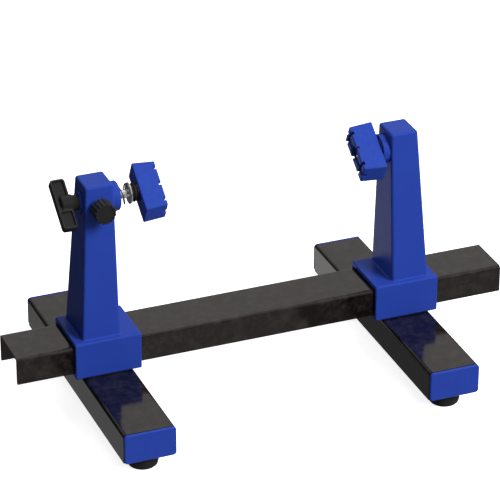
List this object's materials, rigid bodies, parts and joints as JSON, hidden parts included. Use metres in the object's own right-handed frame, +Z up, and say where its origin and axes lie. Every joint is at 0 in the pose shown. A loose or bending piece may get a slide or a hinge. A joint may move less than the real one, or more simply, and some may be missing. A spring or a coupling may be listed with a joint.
{
  "type": "circuit board holder",
  "caption": "Bench holder for a circuit board: sliding towers on a rail with cross feet carry jaws that turn about one axis; one jaw is sprung, with a wing knob and a clamp knob.",
  "frame": {"origin": "centre of the holder's footprint on the table, under the middle of the rail", "axes": "+X along the rail from the sprung jaw's side to the fixed jaw's side, +Y to the back, +Z up"},
  "size_m": [0.3, 0.172, 0.1444],
  "materials": {
    "blue_plastic": "moulded, satin, fine grain",
    "black_paint": "semi-gloss black powder paint",
    "black_rubber": "matt",
    "black_plastic": "moulded, satin",
    "bright_steel": "turned, bright",
    "zinc_steel": "zinc plated",
    "spring_steel": "drawn wire",
    "brass": "turned",
    "nylon": "natural nylon"
  },
  "bodies": {
    "base": {"rail": "black_paint"},
    "left_support": {"left_tower": "blue_plastic", "left_foot_bar": "black_paint", "left_front_end_cap": "blue_plastic", "left_back_end_cap": "blue_plastic", "left_front_rubber_foot": "black_rubber", "left_back_rubber_foot": "black_rubber", "left_foot_washers": "zinc_steel", "left_foot_screws": "zinc_steel", "left_bar_screws": "zinc_steel", "left_captive_nut": "zinc_steel", "left_bushing": "brass", "left_spring": "spring_steel", "clamp_insert": "brass"},
    "left_lock_tip": {"left_lock_pad": "nylon"},
    "left_lock_hand": {"left_lock_screw": "zinc_steel", "left_lock_knob": "black_plastic"},
    "clamp_tip": {"clamp_pad": "nylon"},
    "clamp_hand": {"clamp_stud": "zinc_steel", "clamp_knob": "black_plastic"},
    "left_plunger": {"thrust_washer": "bright_steel"},
    "left_head": {"left_spindle": "bright_steel", "spindle_collar": "black_plastic", "left_jaw": "blue_plastic", "left_jaw_screw": "zinc_steel", "wing_knob": "black_plastic", "wing_knob_insert": "brass"},
    "right_support": {"right_tower": "blue_plastic", "right_foot_bar": "black_paint", "right_front_end_cap": "blue_plastic", "right_back_end_cap": "blue_plastic", "right_front_rubber_foot": "black_rubber", "right_back_rubber_foot": "black_rubber", "right_foot_washers": "zinc_steel", "right_foot_screws": "zinc_steel", "right_bar_screws": "zinc_steel", "right_captive_nut": "zinc_steel", "right_bushing": "brass", "friction_washer": "spring_steel"},
    "right_lock_tip": {"right_lock_pad": "nylon"},
    "right_lock_hand": {"right_lock_screw": "zinc_steel", "right_lock_knob": "black_plastic"},
    "right_head": {"right_jaw": "blue_plastic", "right_axle": "bright_steel", "axle_nut": "zinc_steel"}
  },
  "joints": [
    {"name": "left_support_slide", "type": "slide", "parent": "base", "child": "left_support", "axis": [1, 0, 0], "range_m": [-0.033, 0.057]},
    {"name": "right_support_slide", "type": "slide", "parent": "base", "child": "right_support", "axis": [1, 0, 0], "range_m": [-0.057, 0.041]},
    {"name": "left_lock_travel", "type": "slide", "parent": "left_support", "child": "left_lock_tip", "axis": [0, 0, 1], "range_m": [-0.0016, 0]},
    {"name": "left_lock_turn", "type": "hinge", "parent": "left_lock_tip", "child": "left_lock_hand", "pos_m": [-0.09635, 0, 0.02], "axis": [0, 0, 1], "range_deg": [-720, 0]},
    {"name": "right_lock_travel", "type": "slide", "parent": "right_support", "child": "right_lock_tip", "axis": [0, 0, 1], "range_m": [-0.0016, 0]},
    {"name": "right_lock_turn", "type": "hinge", "parent": "right_lock_tip", "child": "right_lock_hand", "pos_m": [0.0883, 0, 0.02], "axis": [0, 0, 1], "range_deg": [-720, 0]},
    {"name": "jaw_press", "type": "slide", "parent": "left_support", "child": "left_plunger", "axis": [1, 0, 0], "range_m": [-0.0065, 0], "stiffness_N_per_m": 900, "springref_m": 0.009, "deforming": ["left_spring"]},
    {"name": "left_jaw_turn", "type": "hinge", "parent": "left_plunger", "child": "left_head", "pos_m": [-0.08, 0, 0.1308], "axis": [1, 0, 0], "continuous": true},
    {"name": "clamp_travel", "type": "slide", "parent": "left_support", "child": "clamp_tip", "axis": [0, 1, 0], "range_m": [-0.0007, 0]},
    {"name": "clamp_turn", "type": "hinge", "parent": "clamp_tip", "child": "clamp_hand", "pos_m": [-0.09685, -0.012, 0.1308], "axis": [0, 1, 0], "range_deg": [-360, 0]},
    {"name": "right_jaw_turn", "type": "hinge", "parent": "right_support", "child": "right_head", "pos_m": [0.07, 0, 0.1308], "axis": [1, 0, 0], "continuous": true}
  ],
  "couplings": [
    {"joint": "left_lock_travel", "follows": "left_lock_turn", "m_per_rad": 0.00012732},
    {"joint": "right_lock_travel", "follows": "right_lock_turn", "m_per_rad": 0.00012732},
    {"joint": "clamp_turn", "follows": "clamp_travel", "rad_per_m": 8976}
  ]
}
